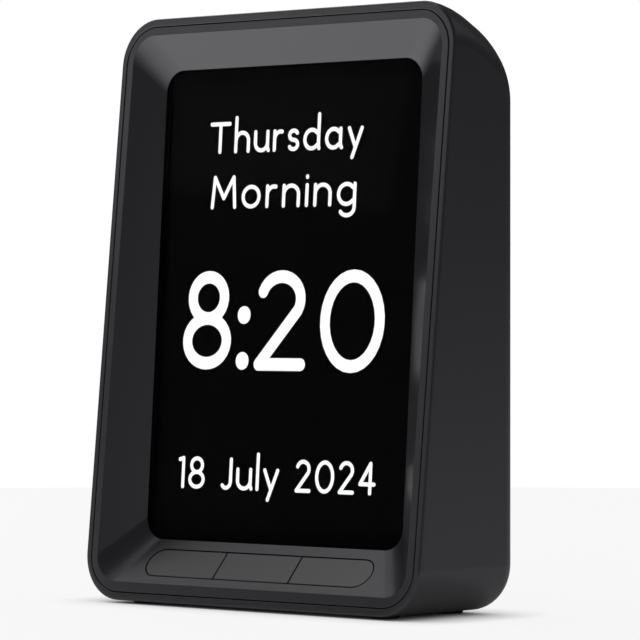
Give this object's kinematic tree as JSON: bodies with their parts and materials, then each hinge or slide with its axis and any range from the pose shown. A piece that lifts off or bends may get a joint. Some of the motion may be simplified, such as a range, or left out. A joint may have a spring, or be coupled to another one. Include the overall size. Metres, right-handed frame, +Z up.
{
  "type": "digital day clock",
  "caption": "Table-top day clock with a deep rounded housing, a sunken portrait display and a bar of push buttons under it",
  "frame": {"origin": "on the surface that it stands on, under the middle of the clock", "axes": "+X to the right of someone who reads the display, +Y to the back, +Z up"},
  "size_m": [0.1622, 0.0551, 0.2156],
  "materials": {
    "housing": "fine matt grain, dark grey",
    "frame": "fine matt grain, dark grey",
    "buttons": "fine matt grain, dark grey",
    "window": "clear, polished, dark behind",
    "gasket": "closed foam",
    "lcd": "dark liquid crystal cell",
    "tray": "plain moulded",
    "bracket": "plain sheet",
    "board": "lacquered board",
    "chip": "moulded package",
    "crystal": "plain can",
    "holder": "plain moulded",
    "cell": "plain can",
    "plug": "plain moulded",
    "ribbon": "film",
    "guide": "plain moulded",
    "switch": "plain moulded",
    "plunger": "plain moulded",
    "speaker_gasket": "closed foam",
    "speaker_frame": "pressed sheet",
    "cone": "coated paper",
    "magnet": "bare",
    "inlet": "plated shell",
    "tongue": "moulded",
    "leads": "insulated wire",
    "screws": "plated",
    "feet": "matt pad"
  },
  "bodies": {
    "clock_body": {"housing": "housing", "front_frame": "frame", "display_window": "window", "display_gasket": "gasket", "lcd_cell": "lcd", "backlight_tray": "tray", "lcd_bracket": "bracket", "main_board": "board", "processor_chip": "chip", "memory_chip": "chip", "clock_crystal": "crystal", "coin_cell_holder": "holder", "coin_cell": "cell", "ribbon_connector": "plug", "wire_connectors": "plug", "display_ribbon": "ribbon", "button_guide": "guide", "button_board": "board", "speaker_gasket": "speaker_gasket", "speaker_frame": "speaker_frame", "speaker_cone": "cone", "speaker_magnet": "magnet", "power_inlet": "inlet", "inlet_tongue": "tongue", "inlet_board": "board", "inlet_connector": "plug", "speaker_leads": "leads", "inlet_leads": "leads", "button_leads": "leads", "housing_screws": "screws", "bracket_screws": "screws", "board_screws": "screws", "guide_screws": "screws", "speaker_screws": "screws", "inlet_screws": "screws", "foot_pads": "feet", "switch_left": "switch", "switch_middle": "switch", "switch_right": "switch"},
    "left_key": {"button_left": "buttons", "plunger_left": "plunger"},
    "middle_key": {"button_middle": "buttons", "plunger_middle": "plunger"},
    "right_key": {"button_right": "buttons", "plunger_right": "plunger"}
  },
  "joints": [
    {"name": "left_key_press", "type": "slide", "parent": "clock_body", "child": "left_key", "axis": [0, 0.7475, -0.6642], "range_m": [0, 0.0008], "stiffness_N_per_m": 2500},
    {"name": "middle_key_press", "type": "slide", "parent": "clock_body", "child": "middle_key", "axis": [0, 0.7475, -0.6642], "range_m": [0, 0.0008], "stiffness_N_per_m": 2500},
    {"name": "right_key_press", "type": "slide", "parent": "clock_body", "child": "right_key", "axis": [0, 0.7475, -0.6642], "range_m": [0, 0.0008], "stiffness_N_per_m": 2500}
  ]
}
